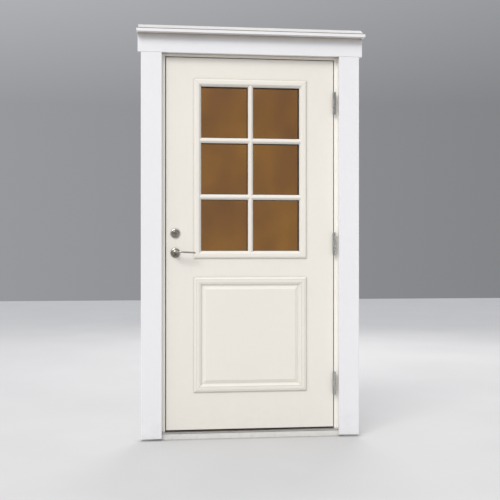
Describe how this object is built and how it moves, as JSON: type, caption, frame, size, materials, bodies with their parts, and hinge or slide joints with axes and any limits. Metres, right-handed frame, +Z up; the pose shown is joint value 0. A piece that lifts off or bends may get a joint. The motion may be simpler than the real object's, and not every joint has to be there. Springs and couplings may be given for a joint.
{
  "type": "panelled front door",
  "caption": "Front door with a glazed upper half and raised panel below, hung in its cased frame; it opens outwards, with a lever handle, mortice lock and thumbturn.",
  "frame": {"origin": "middle of the threshold's underside, halfway through the frame's depth", "axes": "+X to the right seen from outside, +Y into the house, +Z up"},
  "size_m": [1.236, 0.2051, 2.2245],
  "materials": {
    "white_trim": "white painted board, satin",
    "frame_paint": "cream painted timber, satin",
    "sill_paint": "off-white painted hardwood",
    "leaf_paint": "warm cream paint, satin",
    "timber_core": "bare softwood",
    "foam": "rigid foam",
    "pane_glass": "warm tinted float glass",
    "spacer_metal": "matt",
    "dark_rubber": "matt",
    "seal_rubber": "beige, matt",
    "sill_metal": "anodised, worn",
    "hinge_steel": "zinc plated, satin",
    "screw_steel": "zinc plated",
    "lock_steel": "satin",
    "handle_steel": "satin nickel look",
    "cylinder_steel": "satin nickel look"
  },
  "bodies": {
    "frame": {"threshold": "sill_paint", "threshold_plate": "sill_metal", "jamb_lock_side": "frame_paint", "jamb_hinge_side": "frame_paint", "frame_head": "frame_paint", "frame_seals": "seal_rubber", "lining_lock_side": "frame_paint", "lining_hinge_side": "frame_paint", "lining_head": "frame_paint", "casing_lock_side": "white_trim", "casing_hinge_side": "white_trim", "casing_header": "white_trim", "drip_cap": "white_trim", "hinge_frame_plates": "hinge_steel", "hinge_frame_screws": "screw_steel", "hinge_pins": "hinge_steel", "strike_plate": "lock_steel", "strike_screws": "screw_steel"},
    "leaf": {"skin_outer": "leaf_paint", "skin_inner": "leaf_paint", "stile_lock_side": "leaf_paint", "stile_hinge_side": "leaf_paint", "rail_top": "timber_core", "rail_middle": "timber_core", "rail_bottom": "timber_core", "aperture_posts": "timber_core", "insulation": "foam", "glass_outer": "pane_glass", "glass_middle": "pane_glass", "glass_inner": "pane_glass", "glass_spacers": "spacer_metal", "glazing_gaskets": "dark_rubber", "glazing_moulding_outer": "leaf_paint", "glazing_moulding_inner": "leaf_paint", "bar_upright_outer": "leaf_paint", "bar_upright_inner": "leaf_paint", "bars_cross_outer": "leaf_paint", "bars_cross_inner": "leaf_paint", "panel_moulding_outer": "leaf_paint", "panel_moulding_inner": "leaf_paint", "raised_field_outer": "leaf_paint", "raised_field_inner": "leaf_paint", "hinge_leaf_plates": "hinge_steel", "hinge_leaf_screws": "screw_steel", "hinge_rings": "hinge_steel", "lock_case": "lock_steel", "lock_forend": "lock_steel", "forend_screws": "screw_steel", "handle_roses": "handle_steel", "cylinder_rose": "cylinder_steel", "cylinder_housing": "cylinder_steel", "turn_rose": "handle_steel"},
    "handle": {"handle_outer": "handle_steel", "handle_inner": "handle_steel", "spindle": "lock_steel", "lock_follower": "lock_steel"},
    "latch": {"latch_bolt": "lock_steel"},
    "turn": {"thumbturn": "handle_steel"},
    "bolt": {"dead_bolt": "lock_steel"},
    "plug": {"cylinder_plug": "cylinder_steel"}
  },
  "joints": [
    {"name": "leaf_swing", "type": "hinge", "parent": "frame", "child": "leaf", "pos_m": [0.4625, -0.0775, 1.052], "axis": [0, 0, 1], "range_deg": [0, 105]},
    {"name": "handle_turn", "type": "hinge", "parent": "leaf", "child": "handle", "pos_m": [-0.409, -0.0275, 1.003], "axis": [0, 1, 0], "range_deg": [0, 45], "stiffness_Nm_per_rad": 1.2, "springref_deg": -34.38},
    {"name": "latch_slide", "type": "slide", "parent": "leaf", "child": "latch", "axis": [1, 0, 0], "range_m": [0, 0.012]},
    {"name": "turn_turn", "type": "hinge", "parent": "leaf", "child": "turn", "pos_m": [-0.409, -0.0275, 1.108], "axis": [0, 1, 0], "range_deg": [0, 90]},
    {"name": "bolt_slide", "type": "slide", "parent": "leaf", "child": "bolt", "axis": [-1, 0, 0], "range_m": [0, 0.02]},
    {"name": "plug_turn", "type": "hinge", "parent": "leaf", "child": "plug", "pos_m": [-0.409, -0.0275, 1.108], "axis": [0, 1, 0], "range_deg": [0, 90]}
  ],
  "couplings": [
    {"joint": "latch_slide", "follows": "handle_turn", "m_per_rad": 0.015279},
    {"joint": "bolt_slide", "follows": "turn_turn", "m_per_rad": 0.012732}
  ]
}
